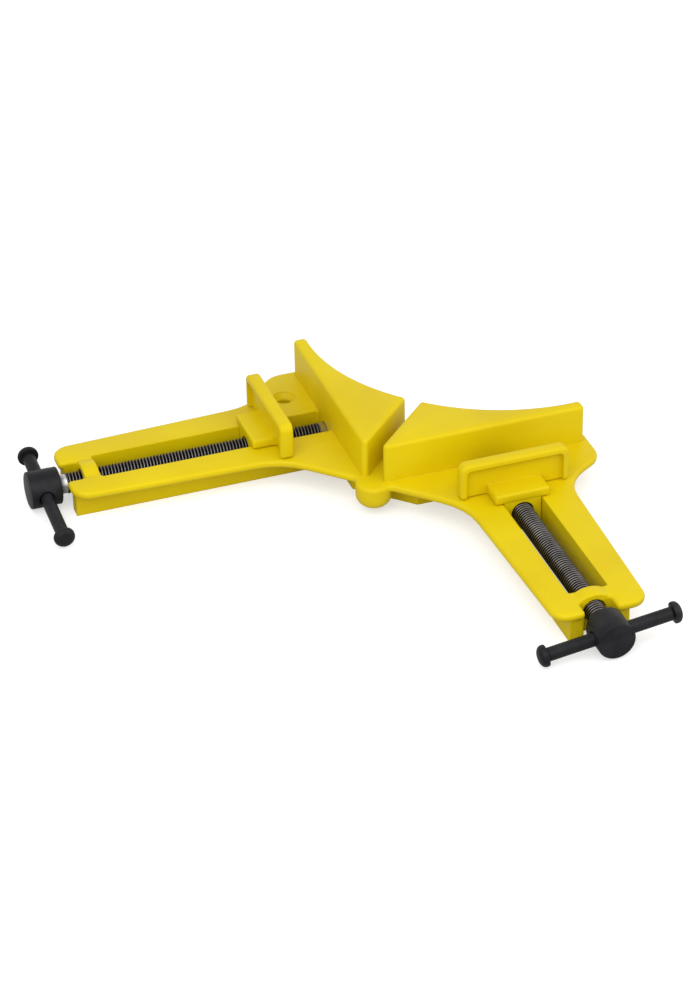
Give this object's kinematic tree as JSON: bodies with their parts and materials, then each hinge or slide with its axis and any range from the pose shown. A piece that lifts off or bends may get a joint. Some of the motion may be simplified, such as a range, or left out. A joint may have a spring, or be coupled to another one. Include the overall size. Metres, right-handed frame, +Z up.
{
  "type": "corner clamp",
  "caption": "Yellow painted cast corner clamp holding boards at a right angle, with two screw-driven jaws, black hubs and sliding tommy bars.",
  "frame": {"origin": "The mitre corner where the two fixed faces would meet, on the top of the bed.", "axes": "+Z up from the bed. The left arm runs along -X, the right arm along -Y, and the fixed faces run along +Y and +X."},
  "size_m": [0.205, 0.205, 0.0283],
  "materials": {
    "yellow_paint": "glossy chrome-yellow enamel over a zinc or aluminium die casting",
    "screw_steel": "zinc plated steel, machined thread",
    "plain_steel": "plain turned steel",
    "spring_steel": "dark spring steel",
    "black_oxide_hub": "black oxide, satin",
    "black_oxide_bar": "black oxide, satin",
    "black_cap": "black oxide, smooth dome"
  },
  "bodies": {
    "frame": {"body": "yellow_paint"},
    "left_jaw_body": {"left_jaw": "yellow_paint", "left_jaw_nut": "plain_steel"},
    "left_screw_body": {"left_screw": "screw_steel", "left_thrust_washer": "plain_steel", "left_retaining_clip": "spring_steel", "left_hub": "black_oxide_hub", "left_hub_pin": "plain_steel"},
    "left_bar_body": {"left_tommy_bar": "black_oxide_bar", "left_bar_far_cap": "black_cap", "left_bar_near_cap": "black_cap"},
    "right_jaw_body": {"right_jaw": "yellow_paint", "right_jaw_nut": "plain_steel"},
    "right_screw_body": {"right_screw": "screw_steel", "right_thrust_washer": "plain_steel", "right_retaining_clip": "spring_steel", "right_hub": "black_oxide_hub", "right_hub_pin": "plain_steel"},
    "right_bar_body": {"right_tommy_bar": "black_oxide_bar", "right_bar_outer_cap": "black_cap", "right_bar_inner_cap": "black_cap"}
  },
  "joints": [
    {"name": "left_screw_spin", "type": "hinge", "parent": "frame", "child": "left_screw_body", "pos_m": [-0.1113, 0.0493, -0.00495], "axis": [1, 0, 0], "range_deg": [-16387, 5471]},
    {"name": "left_jaw_slide", "type": "slide", "parent": "frame", "child": "left_jaw_body", "axis": [1, 0, 0], "range_m": [-0.0569, 0.019]},
    {"name": "left_bar_slide", "type": "slide", "parent": "left_screw_body", "child": "left_bar_body", "axis": [0, 0.9946, 0.1033], "range_m": [-0.0119, 0.0218]},
    {"name": "right_screw_spin", "type": "hinge", "parent": "frame", "child": "right_screw_body", "pos_m": [0.0493, -0.1113, -0.00495], "axis": [0, 1, 0], "range_deg": [-17049, 4809]},
    {"name": "right_jaw_slide", "type": "slide", "parent": "frame", "child": "right_jaw_body", "axis": [0, 1, 0], "range_m": [-0.0592, 0.0167]},
    {"name": "right_bar_slide", "type": "slide", "parent": "right_screw_body", "child": "right_bar_body", "axis": [0.992, 0, 0.1262], "range_m": [-0.0158, 0.0169]}
  ],
  "couplings": [
    {"joint": "left_jaw_slide", "follows": "left_screw_spin", "m_per_rad": 0.00019894},
    {"joint": "right_jaw_slide", "follows": "right_screw_spin", "m_per_rad": 0.00019894}
  ]
}
